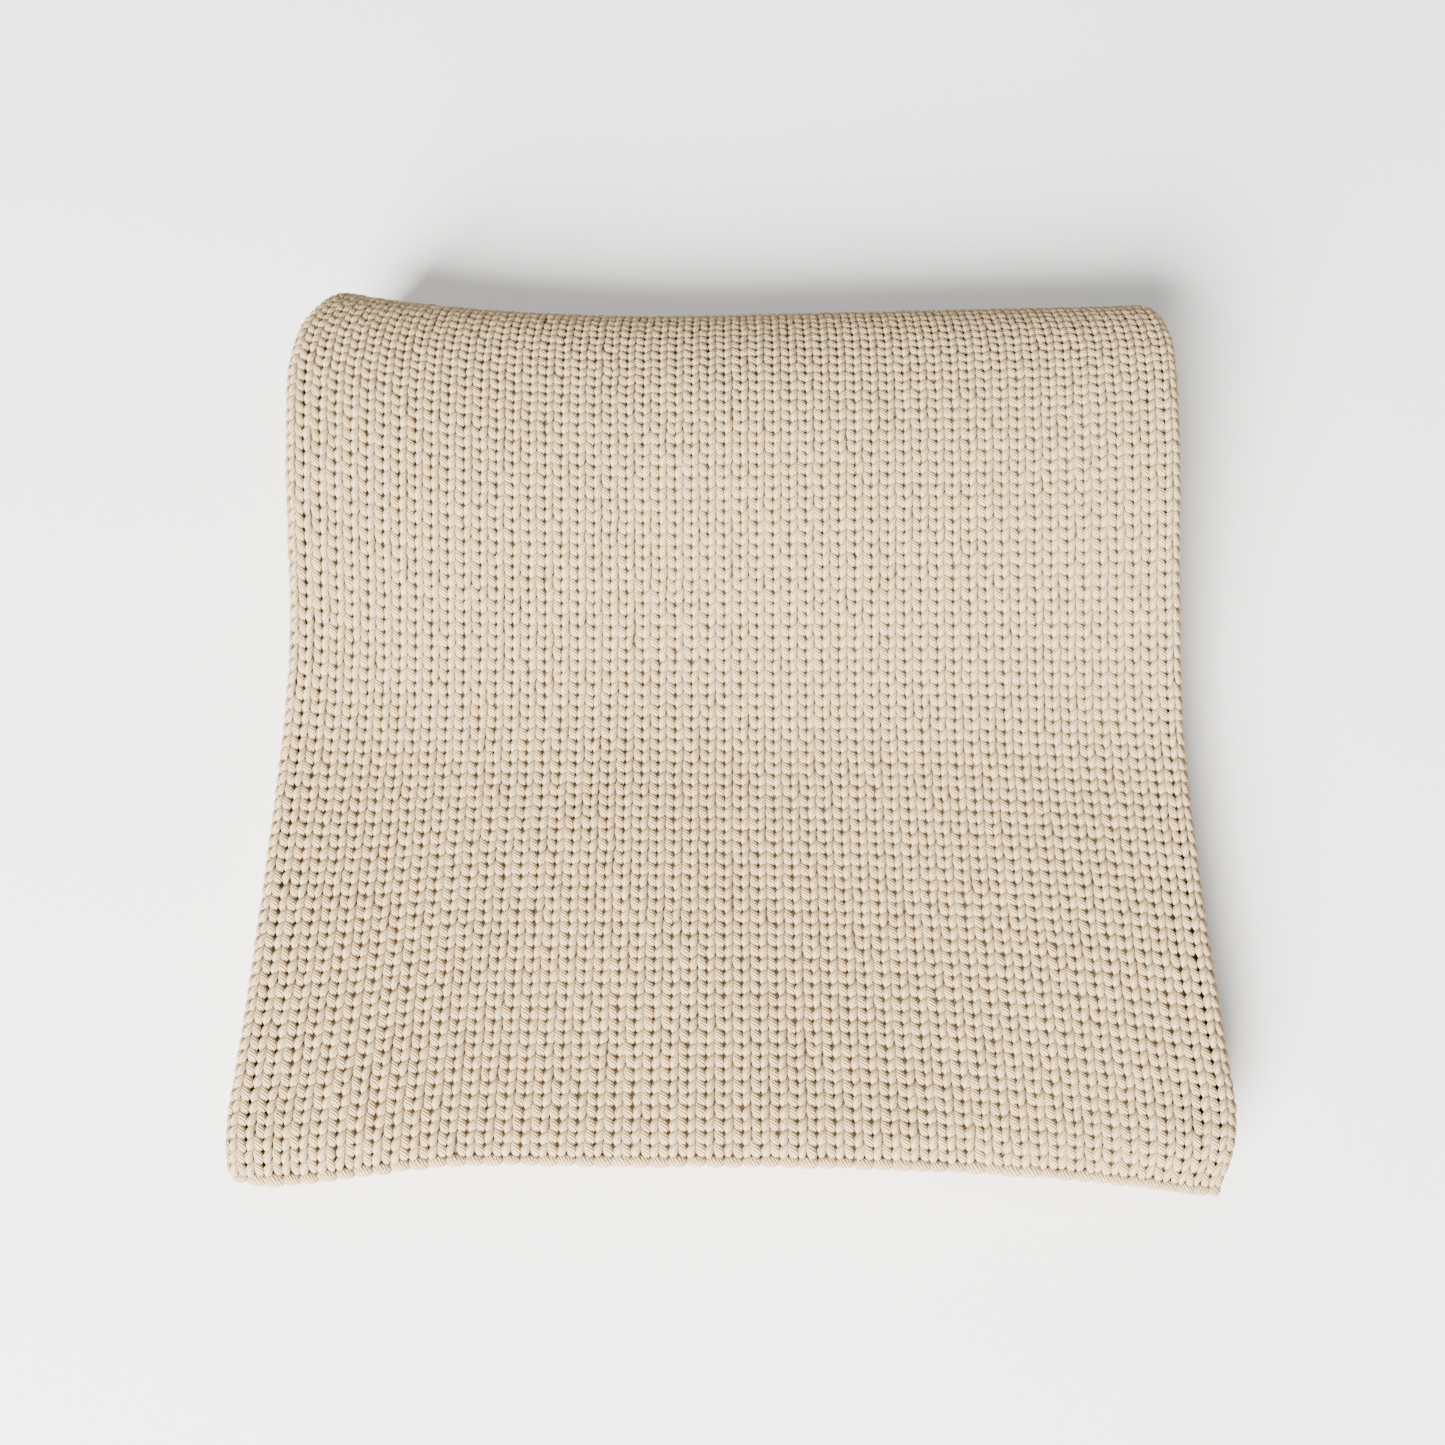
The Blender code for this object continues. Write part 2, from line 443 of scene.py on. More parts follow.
@dataclass
class FoldedStrip:
    """The strip of three layers, along its folded path and around its cross-section.

    Along: s is the distance along the outer face from the free near edge. Around: g counts
    wales from the middle of the left side, so 0 to WALES is the face, and more than WALES
    goes on round the right side fold and back under the strip to the selvage.
    """

    cloth: float = 0.0040
    layer_gap: float = 0.0003
    turn_gap: float = 0.0006
    waist: float = 0.434
    flare: float = 0.0085
    flare_reach: float = 0.200
    pull_in: float = 0.009
    droop_radius: float = 0.045
    droop_angle: float = math.radians(20)
    rise_run: float = 0.175
    crown_run: float = 0.040  # the far fold starts to turn this far before its middle
    selvage_inset: float = 0.006
    uneven: Unevenness = field(default_factory=Unevenness)
    marks: dict[str, float] = field(default_factory=dict)

    def __post_init__(self) -> None:
        """Read the frame's boxes and lay the path out as arrays."""
        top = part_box("top_strip_face")
        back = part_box("far_fold_face")
        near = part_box("near_fold_face")
        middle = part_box("middle_strip_face")
        self.far_radius = top[1].z / 2
        self.far_y = back[1].y - self.far_radius
        self.near_radius = near[1].z / 2
        self.near_y = near[1].y
        self.near_edge_y = top[0].y
        self.inner_end_y = middle[1].y
        self.pitch = self.cloth + self.layer_gap
        self.depth = self.near_radius - self.turn_gap / 2
        self.right_radius = self.depth / 2
        self.left_radius = self.cloth + self.layer_gap / 2
        self.top_height = 2 * self.near_radius + self.layer_gap + self.depth
        self._lay_out()

    def body_width(self, y: Array | float) -> Array | float:
        """Half the width at y: a waist half way back, flaring as the square of y."""
        return self.waist / 2 + self.flare * (y / self.flare_reach) ** 2

    def _top_runs(self) -> list[tuple[Array, Array, Array]]:
        """Lay out the path over the top, from the free edge to the back of the far fold.

        Returns:
            y, z and the tangent's angle of each run: an arc at the drooping edge, a straight
            run, a smooth step uphill, and a quarter ellipse over the crown.
        """
        bend_y = self.near_edge_y + self.droop_radius * math.sin(self.droop_angle)
        turn = np.linspace(self.droop_angle, 0, 40)
        droop = (
            bend_y - self.droop_radius * np.sin(turn),
            self.top_height - self.droop_radius * (1 - np.cos(turn)),
            turn,
        )
        r, peak_y = self.far_radius, self.far_y - self.crown_run
        flat_y = np.linspace(bend_y, peak_y - self.rise_run, 60)[1:]
        flat = (flat_y, np.full_like(flat_y, self.top_height), np.zeros_like(flat_y))
        t = np.linspace(0, 1, 160)[1:]
        climb = 2 * r - self.top_height
        rise = (
            peak_y - self.rise_run * (1 - t),
            self.top_height + climb * smooth(t),
            np.arctan(climb / self.rise_run * 6 * t * (1 - t)),
        )
        turn = np.linspace(0, math.pi / 2, 121)[1:]
        reach = r + self.crown_run
        crown = (
            peak_y + reach * np.sin(turn),
            r + r * np.cos(turn),
            -np.arctan2(r * np.sin(turn), reach * np.cos(turn)),
        )
        return [droop, flat, rise, crown]

    def _lower_runs(self) -> list[tuple[Array, Array, Array]]:
        """Lay out the rest of the path, down under the stack and in to the inner end.

        Returns:
            y, z and the tangent's angle of each run: a quarter circle down the back, a
            straight run on the floor, half a circle up the near fold, and a straight run in.
        """
        r, turn = self.far_radius, np.linspace(0, math.pi / 2, 121)[1:] + math.pi / 2
        tuck = (self.far_y + r * np.sin(turn), r + r * np.cos(turn), -turn)
        low_y = np.linspace(self.far_y, self.near_y, 90)[1:]
        low = (low_y, np.zeros_like(low_y), np.full_like(low_y, -math.pi))
        turn = np.linspace(0, math.pi, 90)[1:]
        near = (
            self.near_y - self.near_radius * np.sin(turn),
            self.near_radius * (1 - np.cos(turn)),
            -math.pi - turn,
        )
        mid_y = np.linspace(self.near_y, self.inner_end_y, 90)[1:]
        level = np.full_like(mid_y, 2 * self.near_radius)
        return [tuck, low, near, (mid_y, level, np.full_like(mid_y, -2 * math.pi))]

    def _lay_out(self) -> None:
        """Join the runs into one path, and note its widths and the marks between panels.

        The width is the body's, less a sine squared of the turn round the far fold.
        """
        runs = [*self._top_runs(), *self._lower_runs()]
        self._y, self._z, self._a = (np.concatenate([run[k] for run in runs]) for k in range(3))
        step = np.hypot(np.diff(self._y), np.diff(self._z))
        self._s = np.concatenate([[0.0], np.cumsum(step)])
        width = self.body_width(np.minimum(self._y, self.far_y))
        round_far = np.clip(-self._a, 0, math.pi) * (self._a >= -math.pi - 1e-9)
        self._w = width - self.pull_in * np.sin(round_far) ** 2
        ends = np.cumsum([len(run[0]) for run in runs]) - 1
        names = ("level", "rise", "peak", "back", "under", "near", "turned", "end")
        self.marks = {key: float(self._s[i]) for key, i in zip(names, ends)}
        top = slice(ends[2], ends[3] + 1)
        self.marks["crest"] = float(np.interp(self.far_y, self._y[top], self._s[top]))

    def along(self, s: Array) -> tuple[Array, Array, Array, Array]:
        """Read the path, which runs on straight past its ends.

        Args:
            s: distance along it.

        Returns:
            y, z, the tangent's angle and half the width.
        """
        past = s - np.clip(s, 0, self._s[-1])
        angle = np.interp(s, self._s, self._a)
        y = np.interp(s, self._s, self._y) + past * np.cos(angle)
        z = np.interp(s, self._s, self._z) + past * np.sin(angle)
        return y, z, angle, np.interp(s, self._s, self._w)

    def length_inside(self, s_range: tuple[float, float]) -> float:
        """Length of the path at half the strip's depth, between two distances on its face."""
        y, z, angle, _ = self.along(np.linspace(*s_range, 60))
        y, z = y + np.sin(angle) * self.depth / 2, z - np.cos(angle) * self.depth / 2
        return float(np.hypot(np.diff(y), np.diff(z)).sum())

    def around(self, g: Array, width: Array) -> tuple[Array, Array, Array, Array]:
        """Read the outline of the cross-section.

        Args:
            g: wale count, 0 to WALES across the face and on round the right side fold.
            width: half the strip's width there.

        Returns:
            x, the depth below the outer face, and the outward normal's two components,
            along x and along the depth. The outline is a flat face, a quarter turn or more
            round each side (radius right_radius or left_radius), and the flat back.
        """
        share = g / WALES * 2 - 1
        radius = np.where(share < 0, self.left_radius, self.right_radius)
        flat = width - radius
        reach = flat + radius * math.pi / 2
        run = np.abs(share) * reach
        side = np.sign(share)
        turn = np.clip((run - flat) / radius, 0, math.pi)
        back = np.maximum(run - flat - math.pi * radius, 0)
        x = side * (np.minimum(run, flat) + radius * np.sin(turn) - back)
        depth = radius * (1 - np.cos(turn))
        return x, depth, side * np.sin(turn), -np.cos(turn)

    def place(self, s: Array, g: Array, lift: Array) -> Array:
        """Find points on the strip.

        Args:
            s: distance along the path.
            g: wale count around the strip.
            lift: height over the strip's surface, outwards.

        Returns:
            (…, 3) coordinates: the path's point, moved in by the depth and out by the lift.
        """
        y, z, angle, width = self.along(s)
        x, depth, out_x, out_d = self.around(g, width)
        inward = depth + out_d * lift
        across = x + out_x * lift
        points = np.stack([across, y + np.sin(angle) * inward, z - np.cos(angle) * inward], axis=-1)
        return self.warp(points)

    def corner_setback(self, g: Array, radius: float) -> Array:
        """How far the free near edge is set back at wale g, by a quarter circle at each corner."""
        half = WALES / 2
        side = np.clip((np.abs(g - half) - half) * WALE + radius, 0, radius)
        return radius - np.sqrt(radius**2 - side**2)

    def bow(self, s: Array, g: Array) -> Array:
        """Work out how far a course is drawn along the strip.

        Args:
            s: distance along the path.
            g: wale count. The back mirrors the face.

        Returns:
            Metres along the path. The near edge hangs forward at both corners: a smooth step
            on the left, a square on the right. Towards the far fold both side edges are drawn
            back by a power of the share across, more on the left.
        """
        uneven = self.uneven
        g = np.where(g > MIRROR_WALE, 2 * MIRROR_WALE - g, g)
        q = np.clip(g / WALES * 2 - 1, -1.05, 1.05)
        left, right = uneven.edge_drop
        hang = np.where(q < 0, left * smooth(ramp(-q, *uneven.edge_corner)), right * q * q)
        near = 1 - ramp(s, *uneven.edge_fade)
        far = ramp(s, *uneven.drawn_start) * ramp(-s, -self.marks["end"], uneven.drawn_end)
        pull = np.where(q < 0, *uneven.drawn_back)
        return (uneven.edge_back - hang) * near + pull * np.abs(q) ** uneven.drawn_power * far

    def warp(self, points: Array) -> Array:
        """Bend the stack in plan: the far fold comes forward in the middle, the corners round off.

        Args:
            points: (…, 3) coordinates.

        Returns:
            The points, moved in Y by a square of X on the left and a line on the right,
            which a smooth step of Y brings in over the far half. The left edge is moved in
            at the waist by a bell curve of Y and at the far corner by a square, and both edges
            at the near corners by a square.
        """
        uneven = self.uneven
        x, y = points[..., 0], points[..., 1]
        moved = points.copy()
        q = x / self.waist * 2 + uneven.far_middle
        left, right = uneven.far_bend
        shift = np.where(q < 0, left * q * q, right * q) + uneven.far_shift
        moved[..., 1] += shift * smooth(ramp(y, 0.0, uneven.far_run))
        depth, middle, breadth = uneven.waist_in
        inward = depth * np.exp(-(((y - middle) / breadth) ** 2))
        depth, *far = uneven.far_corner
        inward = inward + depth * ramp(y, *far, most=1.1) ** 2
        corner = ramp(-y, *uneven.near_corner_start) ** 2
        left, right = uneven.near_corner
        side = np.clip(np.abs(x) / self.waist * 2, 0, 1.1) ** uneven.side_power
        moved[..., 0] += side * np.where(x < 0, inward + left * corner, -right * corner)
        return moved

    def swell(self, s: Array, g: Array) -> Array:
        """Work out the soft unevenness of the top strip.

        Args:
            s: distance along the path.
            g: wale count. The back mirrors the face, with the height inwards.

        Returns:
            Metres out of the surface: three crossed sine waves of under a millimetre, which
            fade out towards the far fold and the side edges.
        """
        uneven = self.uneven
        back = g > MIRROR_WALE
        q = np.where(back, 2 * MIRROR_WALE - g, g) / WALES * 2 - 1
        past, run = uneven.wave_fade
        fade = ramp(-s, -(self.marks["crest"] + past), run) * np.where(back, -1, 1)
        fade = fade * np.clip(1.0 - np.abs(q), 0, uneven.wave_side) / uneven.wave_side
        waves = (
            height * np.sin(across * q + along * s + first)
            for height, across, along, first in uneven.waves
        )
        return fade * sum(waves)


# ---------------------------------------------------------------- stitches


@dataclass(frozen=True)
class Leg:
    """One leg of a stitch: wales across, courses along, metres of height."""

    side: int  # -1 left, +1 right
    fullness: float  # breadth compared with the pattern below
    twist: float  # turns of ply slant along the leg
    half_height: float = 0.00122
    # along, inner edge, outer edge and depth of the crown, from foot to head
    pattern: tuple[tuple[float, float, float, float], ...] = (
        (-0.08, 0.120, 0.300, 0.0018),
        (0.12, 0.035, 0.400, 0.0008),
        (0.35, -0.030, 0.460, 0.0001),
        (0.60, -0.035, 0.510, 0.0000),
        (0.85, 0.035, 0.545, 0.0001),
        (1.10, 0.150, 0.555, 0.0005),
        (1.50, 0.330, 0.500, 0.0018),
    )

    def rings(self, build: Build) -> tuple[Array, Array, Array]:
        """Work out the leg's skin: an ellipse between an inner and an outer edge, under a crown line.

        Args:
            build: how many rings and sides.

        Returns:
            Across (wales), along (courses) and height (metres) of every point, each
            (rings, sides). The leg thins towards both ends by a power of a sine.
        """
        rings, sides = build.value
        t = np.linspace(0.0, 1.0, rings)
        line, inner, outer, depth = np.array(self.pattern).T
        u = line[0] + (line[-1] - line[0]) * t
        inner, outer, depth = (np.interp(u, line, edge) for edge in (inner, outer, depth))
        middle = (inner + outer) / 2
        half = (outer - inner) / 2 * self.fullness
        thick = self.half_height * np.sin(math.pi * (0.10 + 0.80 * t)) ** 0.7
        turn = np.linspace(0, 2 * math.pi, sides, endpoint=False)
        across = self.side * middle[:, None] + half[:, None] * np.cos(turn)
        height = thick[:, None] * (np.sin(turn) - 1) - depth[:, None]
        return across, np.repeat(u[:, None], sides, axis=1), height


LEGS = (Leg(side=-1, fullness=1.04, twist=-0.9), Leg(side=1, fullness=1.0, twist=0.25))


@dataclass
class StitchField:
    """A patch of stockinette on the strip: every stitch from one course and wale to another."""

    strip: FoldedStrip
    build: Build
    lift: float = 0.0
    seed: int = 1
    corner: float = 0.009  # radius of the free near edge's corners
    tone: tuple[float, float] = (0.36, 0.07)  # middle and spread of the stitches' lightness
    # spread of the stitches' place across (wales) and along (courses), height (metres) and breadth
    scatter: tuple[float, float, float, float] = (0.022, 0.05, 0.00012, 0.05)

    def stitches(
        self,
        name: str,
        s_range: tuple[float, float],
        g_range: tuple[int, int],
        material: bpy.types.Material,
    ) -> bpy.types.Object:
        """Make one patch.

        Args:
            name: the piece's name.
            s_range: distances along the strip between which the stitches' feet lie.
            g_range: first wale and one past the last wale.
            material: the yarn's finish.

        Returns:
            The piece: two closed legs per stitch, with small random shifts of place and tone.
            Stitches past the rounded corners of the free near edge are left out.
        """
        rows = steps_between(s_range, COURSE)
        wales = np.arange(*g_range) + 0.5
        g, s = (grid.ravel() for grid in np.meshgrid(wales, rows))
        keep = s > self.strip.corner_setback(g, self.corner)
        return self._legs(name, s[keep], g[keep], material)

    def _legs(
        self, name: str, s: Array, g: Array, material: bpy.types.Material
    ) -> bpy.types.Object:
        """Copy both legs to every stitch and map them onto the strip.

        Args:
            name: the piece's name.
            s: where each stitch's foot is along the strip.
            g: where its middle is around the strip.
            material: the yarn's finish.

        Returns:
            The piece.
        """
        rng = np.random.default_rng(self.seed)
        rings, sides = self.build.value
        bow, swell = self.strip.bow(s, g), self.strip.swell(s, g)
        points, quads, caps, uvs, cap_uvs, tones = [], [], [], [], [], []
        for number, leg in enumerate(LEGS):
            across, along, height = leg.rings(self.build)
            spread = np.array(self.scatter)[:, None] * rng.normal(0, 1, (4, len(s)))
            middle, spread_tone = self.tone
            tone = middle + spread_tone * rng.normal(0, 1, len(s))
            aside, ahead, up, fuller = spread[:, :, None, None]
            gg = g[:, None, None] + aside + across * (1 + fuller)
            ss = s[:, None, None] + COURSE * (along + ahead) + bow[:, None, None]
            lift = self.lift + height + up + swell[:, None, None]
            points.append(self.strip.place(ss, gg, lift).reshape(-1, 3))
            tones.append(np.repeat(tone, rings * sides))
            tubes = YarnTubes(len(s), rings, sides, leg.twist)
            base = number * len(s) * rings * sides
            for kept, part in zip((quads, caps), tubes.faces()):
                kept.append(base + part)
            for kept, part in zip((uvs, cap_uvs), tubes.uv()):
                kept.append(part)
        faces = [np.concatenate(quads), np.concatenate(caps)]
        uv = np.concatenate([*uvs, *cap_uvs])
        return mesh_object(name, np.concatenate(points), faces, material, uv, np.concatenate(tones))


@dataclass
class BeadRow:
    """A row of soft yarn beads: the cast-on edge, the bound-off edge or a selvage."""

    strip: FoldedStrip
    seed: int = 5
    rings: int = 6
    sides: int = 8
    twist: float = 1.2
    tone: tuple[float, float] = (0.52, 0.06)  # middle and spread of the beads' lightness
    # spread of the beads' place along (metres) and around (wales), and of their size
    scatter: tuple[float, float, float] = (0.0002, 0.02, 0.06)

    def beads(
        self,
        name: str,
        s: Array,
        g: Array,
        size: tuple[float, float, float],
        material: bpy.types.Material,
        along_s: bool = False,
        lift: float = -0.0014,
    ) -> bpy.types.Object:
        """Make a row of beads.

        Args:
            name: the piece's name.
            s: where each bead's middle is along the strip.
            g: where it is around the strip.
            size: half the bead's length (metres along or wales around), half its breadth in
                the other measure, and half its height in metres.
            material: the yarn's finish.
            along_s: whether the beads' length runs along the strip.
            lift: height of their middles over the strip's surface.

        Returns:
            The piece: ellipsoids with blunt ends, whose radius follows the 0.7th power of a sine.
        """
        rng = np.random.default_rng(self.seed)
        t = np.linspace(0.0, 1.0, self.rings)
        fat = np.sin(math.pi * (0.07 + 0.86 * t)) ** 0.7
        turn = np.linspace(0, 2 * math.pi, self.sides, endpoint=False)
        long = np.repeat(-np.cos(math.pi * t)[:, None], self.sides, axis=1) * size[0]
        broad = fat[:, None] * np.cos(turn) * size[1]
        high = fat[:, None] * np.sin(turn) * size[2]
        ds, dg = (long, broad) if along_s else (broad, long)
        ahead, aside, fuller = np.array(self.scatter)[:, None] * rng.normal(0, 1, (3, len(s)))
        grow = 1 + fuller[:, None, None]
        ss = (s + ahead + self.strip.bow(s, g))[:, None, None] + ds * grow
        gg = (g + aside)[:, None, None] + dg * grow
        up = (lift + self.strip.swell(s, g))[:, None, None] + high * grow
        points = self.strip.place(ss, gg, up).reshape(-1, 3)
        middle, spread = self.tone
        tone = np.repeat(middle + spread * rng.normal(0, 1, len(s)), self.rings * self.sides)
        tubes = YarnTubes(len(s), self.rings, self.sides, self.twist, inside_out=not along_s)
        faces, uv = list(tubes.faces()), np.concatenate(tubes.uv())
        return mesh_object(name, points, faces, material, uv, tone)


@dataclass
class GroundCloth:
    """The cloth under the stitches: one thin sheet folded in three, carried along the strip, whose dark
    finish is painted shade seen through the gaps between the legs.
    """

    strip: FoldedStrip
    thickness: float = 0.0012
    sink: float = 0.0012  # how far its middle lies below the middle of its layer
    corner: float = 0.008  # radius of the free near edge's corners

    def outline(self, width: Array) -> tuple[Array, ...]:
        """Work out the folded sheet's middle line and normals, for every half width given.

        It runs in from the left third's selvage, round the left fold to the face, and round
        the right fold back to the right third's selvage. The folds are half circles.

        Args:
            width: half widths, (stations,).

        Returns:
            x, depth, and the normal along x and along the depth, each (stations, points).
        """
        strip = self.strip
        face = strip.cloth / 2 + self.sink
        left = strip.pitch + strip.cloth / 2
        right = 2 * strip.pitch + strip.cloth / 2 - self.sink
        one = np.ones_like(width)[:, None]
        flat_left = width[:, None] - strip.left_radius
        flat_right = width[:, None] - strip.right_radius
        selvage = width[:, None] - strip.selvage_inset
        run = np.linspace(0, 1, 14)[None, :]
        zero = np.zeros_like(one * run)

        def fold(flat: Array, low: float, side: int) -> tuple[Array, Array, Array, Array]:
            """Half a circle outwards at one side, between the face and the layer at depth low."""
            arc = np.linspace(0, math.pi, 9)[None, :]
            radius = (low - face) / 2
            down = -side * one * np.cos(arc)
            x = side * (flat + radius * np.sin(arc))
            return x, one * (low + face) / 2 + radius * down, side * one * np.sin(arc), down

        parts = [
            (selvage * (1 - run) - flat_left * run, zero + left, zero, zero + 1),
            fold(flat_left, left, -1),
            (-flat_left * (1 - run) + flat_right * run, zero + face, zero, zero - 1),
            fold(flat_right, right, 1),
            (flat_right * (1 - run) - selvage * run, zero + right, zero, zero + 1),
        ]
        return tuple(np.concatenate([part[k] for part in parts], axis=1) for k in range(4))

    def make(
        self,
        name: str,
        s_range: tuple[float, float],
        stations: int,
        material: bpy.types.Material,
    ) -> bpy.types.Object:
        """Make the sheet between two distances along the strip.

        Args:
            name: the piece's name.
            s_range: where it starts and ends.
            stations: how many cross-sections it has.
            material: its finish.

        Returns:
            The piece, a closed shell: the middle line offset by half the thickness both ways.
        """
        s = np.linspace(*s_range, stations)
        width = self.strip.along(s)[3]
        short = np.clip(self.corner - s, 0, self.corner)
        width = width - (self.corner - np.sqrt(self.corner**2 - short**2))
        x, depth, out_x, out_d = self.outline(width)
        line = np.arange(x.shape[1])
        pick = np.concatenate([line, line[::-1]])
        lift = np.repeat([self.thickness / 2, -self.thickness / 2], len(line))
        xx = x[:, pick] + out_x[:, pick] * lift
        dd = depth[:, pick] + out_d[:, pick] * lift
        share = np.clip((xx / width[:, None] + 1) / 2, 0, 1) * WALES
        ss = s[:, None] + 0 * xx
        at_y, at_z, at_a, _ = self.strip.along(ss + self.strip.bow(ss, share))
        inward = dd - self.strip.swell(ss, share)
        points = np.stack([xx, at_y + np.sin(at_a) * inward, at_z - np.cos(at_a) * inward], axis=-1)
        points = self.strip.warp(points).reshape(-1, 3)
        count = xx.shape[1]
        ring, side = np.meshgrid(np.arange(stations - 1), np.arange(count), indexing="ij")
        a = ring * count + side
        b = ring * count + (side + 1) % count
        walls = np.stack([a, a + count, b + count, b], axis=-1).reshape(-1, 4)
        line = line[:-1]
        cap = np.stack([line, line + 1, count - 2 - line, count - 1 - line], axis=-1)
        far_cap = cap[:, ::-1] + (stations - 1) * count
        return mesh_object(name, points, [np.concatenate([walls, cap, far_cap])], material)


# ---------------------------------------------------------------- the throw


@dataclass(frozen=True)
class Panel:
    """One panel of the strip, between two marks of its path."""

    name: str
    start: str | None  # mark where it starts, or None for the free near edge
    end: str
    stations: int  # cross-sections of the ground cloth
    rides: Rides
    rests_on: str | None  # the panel whose cloth it rests on, or None for the floor
    stands_for: str | None  # the frame's name for this panel, or None where another has it
    face: Build = Build.FINE  # how finely the face stitches are made
    bands: int = 1  # pieces that the face is split into
    back: Build | None = None  # the same for the back, or None where another strip hides it
    back_bands: int = 1
    lift: float = -0.0001  # height of the face stitches

    def span(self, marks: dict[str, float]) -> tuple[float, float]:
        """Where the panel starts and ends along the strip."""
        return (marks[self.start] if self.start else 0.0), marks[self.end]

    def nodes(self) -> list[str]:
        """Names of the three layers that it stands for in the frame."""
        layers = ("face", "left_third", "right_third")
        return [f"{self.stands_for}_{layer}" for layer in layers] if self.stands_for else []


PROUD = 0.0005  # height of the stitches on the panels that show
PANELS = (
    Panel(
        "top_strip", None, "crest", 70, "top_flap", "middle_strip", "top_strip",
        bands=5, back=Build.PLAIN, back_bands=2, lift=PROUD,
    ),
    Panel(
        "far_fold_upper", "crest", "back", 14, ("far_fold", "top_flap"), "far_fold_lower", "far_fold",
        back=Build.PLAIN, lift=PROUD,
    ),
    Panel(
        "far_fold_lower", "back", "under", 14, ("lower_stack", "far_fold"), "bottom_strip", None,
        back=Build.PLAIN, lift=PROUD,
    ),
    Panel(
        "bottom_strip", "under", "near", 50, "lower_stack", None, "bottom_strip",
        face=Build.PLAIN, bands=2,
    ),
    Panel("near_fold", "near", "turned", 18, "lower_stack", "bottom_strip", "near_fold"),
    Panel(
        "middle_strip", "turned", "end", 50, "lower_stack", "bottom_strip", "middle_strip",
        face=Build.PLAIN, bands=2,
    ),
)


@dataclass
class Throw:
    """The whole folded throw: its panels, folds and edges, each riding on its body or fixed in place.
    """

    strip: FoldedStrip = field(default_factory=FoldedStrip)
    flat_width: float = 1.30
    edge_corner: float = 0.013  # radius of the cast-on edge's corners
    clothes: dict[str, bpy.types.Object] = field(default_factory=dict)
    pieces: dict[str, list[bpy.types.Object]] = field(default_factory=dict)

    def dress(self) -> None:
        """Make the finishes."""
        self.yarn = YARN.build()
        self.shaded_edge_yarn = SHADED_EDGE_YARN.build()
        self.ground = GROUND_SHADE.build()

    def panel(self, panel: Panel) -> None:
        """Make one panel: its ground cloth, its face stitches in bands, and its back stitches.

        Args:
            panel: what it is and how it is made.
        """
        name, s_range = panel.name, panel.span(self.strip.marks)
        cloth = GroundCloth(self.strip).make(f"{name}_cloth", s_range, panel.stations, self.ground)
        pieces = []
        face = StitchField(self.strip, panel.face, panel.lift, seed=len(name))
        for tail, span in spans(s_range, panel.bands):
            pieces.append(face.stitches(f"{name}_stitches{tail}", span, FACE_WALES, self.yarn))
        if panel.back is not None:
            back = StitchField(self.strip, panel.back, -0.0001, seed=len(name) + 40)
            for tail, span in spans(s_range, panel.back_bands):
                pieces.append(back.stitches(f"{name}_back_stitches{tail}", span, BACK_WALES, self.yarn))
            pieces.append(self.selvage(f"{name}_selvage", s_range))
        for piece in (cloth, *pieces):
            self.attach(piece, panel.rides)
        self.clothes[name], self.pieces[name] = cloth, pieces
        LOG.info("%s: %d pieces", name, len(pieces) + 1)

    def selvage(self, name: str, s_range: tuple[float, float]) -> bpy.types.Object:
        """Make the back layer's own edge: a chain of beads two courses long.

        Args:
            name: the piece's name.
            s_range: where it starts and ends along the strip.

        Returns:
            The piece.
        """
        pitch = 2 * COURSE
        s = steps_between(s_range, pitch)
        size = (0.60 * pitch, 0.42, 0.0018)
        beads = BeadRow(self.strip, seed=len(name))
        at = np.full_like(s, SELVAGE_WALE)
        return beads.beads(name, s, at, size, self.shaded_edge_yarn, along_s=True, lift=-0.0017)

    def attach(self, piece: bpy.types.Object, rides: Rides) -> None:
        """Let a piece ride on one body; a piece given two bodies is only fixed in place, and nothing
        bends it.

        Args:
            piece: the piece.
            rides: its body, or two bodies, of which the piece rides on neither.
        """
        if isinstance(rides, str):
            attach(piece, rides)
            return
        if rides[0] == "far_fold":
            crest = float(self.strip.along(np.array(self.strip.marks["crest"]))[1])
            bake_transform(piece)
        else:
            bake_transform(piece)

    def edges(self) -> None:
        """Make the cast-on edge at the free near end and the bound-off edge inside."""
        g = np.arange(0, WALES + 1) + 0.0
        start = 0.0012 + self.strip.corner_setback(g, self.edge_corner)
        end = np.full_like(g, self.strip.marks["end"] + 0.0005)
        rows = (
            ("cast_on_edge", start, (0.53, 0.0028, 0.0017), "top_flap", "top_strip"),
            ("bound_off_edge", end, (0.62, 0.0024, 0.0017), "lower_stack", "middle_strip"),
        )
        for name, s, size, body, panel in rows:
            edge = BeadRow(self.strip, seed=11).beads(name, s, g, size, self.shaded_edge_yarn)
            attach(edge, body)
            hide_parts(f"{name}_face", f"{name}_left_third", f"{name}_right_third")
            self.pieces[panel].append(edge)
            LOG.info("%s: 1 piece", name)

    def declare(self, panel: Panel) -> None:
        """Hide the frame's nodes that a panel's cloth stands for, and work out its flat size, which is
        not kept.

        Args:
            panel: the panel. All panels and edges have been made.
        """
        if panel.stands_for:
            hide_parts(*panel.nodes())
        flat = (self.flat_width, self.strip.length_inside(panel.span(self.strip.marks)))

    def make(self) -> None:
        """Make the whole throw."""
        self.dress()
        for panel in PANELS:
            self.panel(panel)
        self.edges()
        for panel in PANELS:
            self.declare(panel)


# ---------------------------------------------------------------- studio


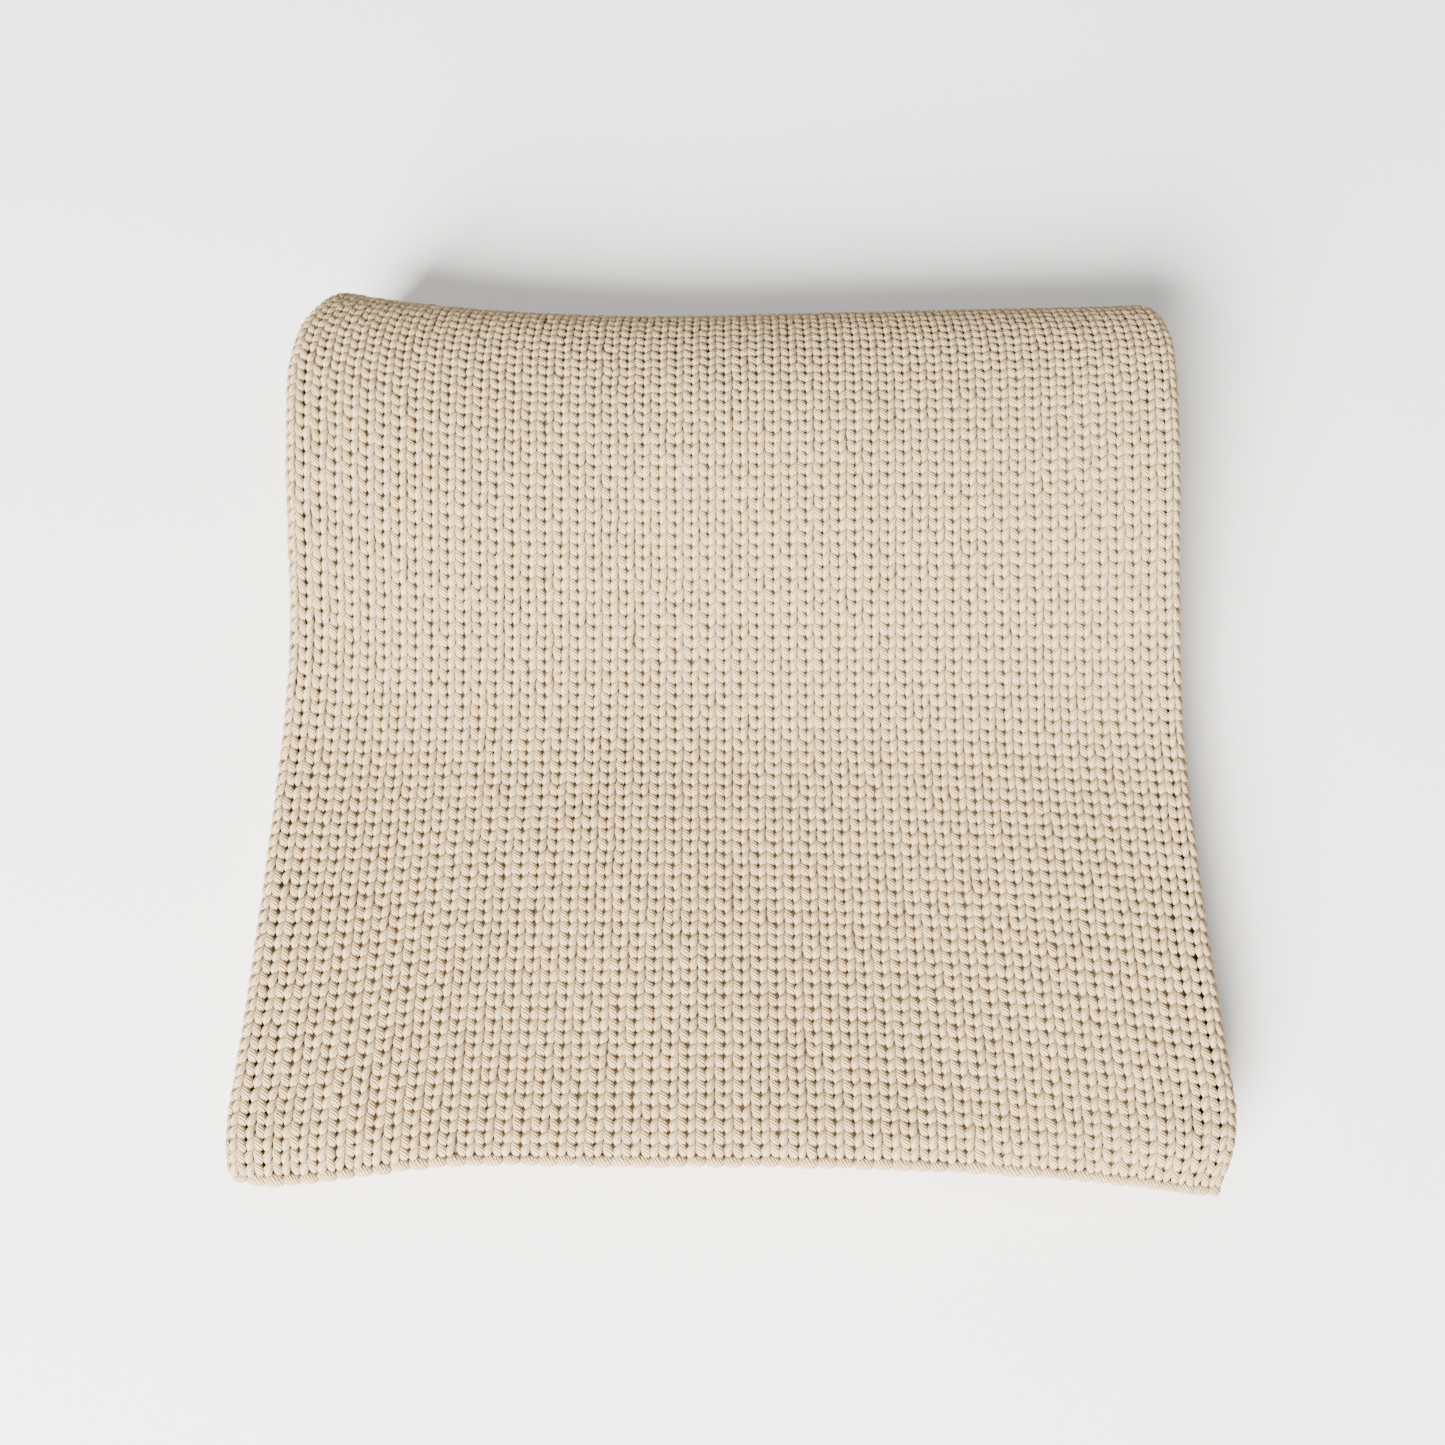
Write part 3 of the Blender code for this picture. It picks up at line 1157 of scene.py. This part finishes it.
@dataclass(frozen=True)
class Lamp:
    """A square area light that points at the throw."""

    name: str
    place: tuple[float, float, float]
    size: float
    power: float
    colour: Colour
    aim: tuple[float, float, float] = (0.0, 0.0, 0.03)

    def add(self) -> None:
        """Put the light into the scene."""
        data = bpy.data.lights.new(self.name, "AREA")
        data.size = self.size
        data.energy = self.power
        data.color = self.colour
        lamp = bpy.data.objects.new(self.name, data)
        lamp.location = self.place
        look = Vector(self.aim) - Vector(self.place)
        lamp.rotation_euler = look.to_track_quat("-Z", "Y").to_euler()
        bpy.context.scene.collection.objects.link(lamp)


@dataclass(frozen=True)
class Studio:
    """A pale floor, soft light and the camera."""

    view_up: float = math.radians(70)  # the camera looks down at this angle
    distance: float = 0.803
    aim: tuple[float, float, float] = (-0.0048, -0.0113, 0.05)
    lens: float = 42.35
    sensor: float = 36.0
    floor_reach: float = 4.0
    world_strength: float = 0.25
    # a broad key from the near side and a low fill from above
    lamps: tuple[Lamp, ...] = (
        Lamp("key", (-1.45, -3.1, 2.0), 2.2, 1420.0, (1.0, 0.98, 0.94)),
        Lamp("top", (-0.3, 0.1, 2.0), 1.4, 20.0, (1.0, 0.99, 0.97)),
    )

    def floor(self) -> None:
        """Lay a wide pale floor, one grid cell."""
        corners = np.array([[-1, -1, 0], [1, -1, 0], [1, 1, 0], [-1, 1, 0]], float)
        cell = [np.array([[0, 1, 2, 3]])]
        mesh_object("floor", corners * self.floor_reach, cell, PALE_FLOOR.build())

    def lights(self) -> None:
        """Add the lamps and an even pale world."""
        for lamp in self.lamps:
            lamp.add()
        world = bpy.data.worlds.new("studio_world")
        world.use_nodes = True
        shade = world.node_tree.nodes["Background"]
        shade.inputs["Color"].default_value = (1.0, 1.0, 1.0, 1.0)
        shade.inputs["Strength"].default_value = self.world_strength
        bpy.context.scene.world = world

    def camera(self) -> None:
        """Place the camera in front of the near edge, looking steeply down."""
        data = bpy.data.cameras.new("camera")
        data.lens = self.lens
        data.sensor_width = self.sensor
        camera = bpy.data.objects.new("camera", data)
        look = Vector((0.0, math.cos(self.view_up), -math.sin(self.view_up)))
        camera.location = Vector(self.aim) - look * self.distance
        camera.rotation_euler = look.to_track_quat("-Z", "Y").to_euler()
        bpy.context.scene.collection.objects.link(camera)
        bpy.context.scene.camera = camera


def main() -> None:
    """Build the throw and its studio."""
    logging.basicConfig(level=logging.INFO, format="%(message)s")
    Throw().make()
    studio = Studio()
    studio.floor()
    studio.lights()
    studio.camera()
    bpy.context.view_layer.update()


if __name__ == "__main__":
    main()
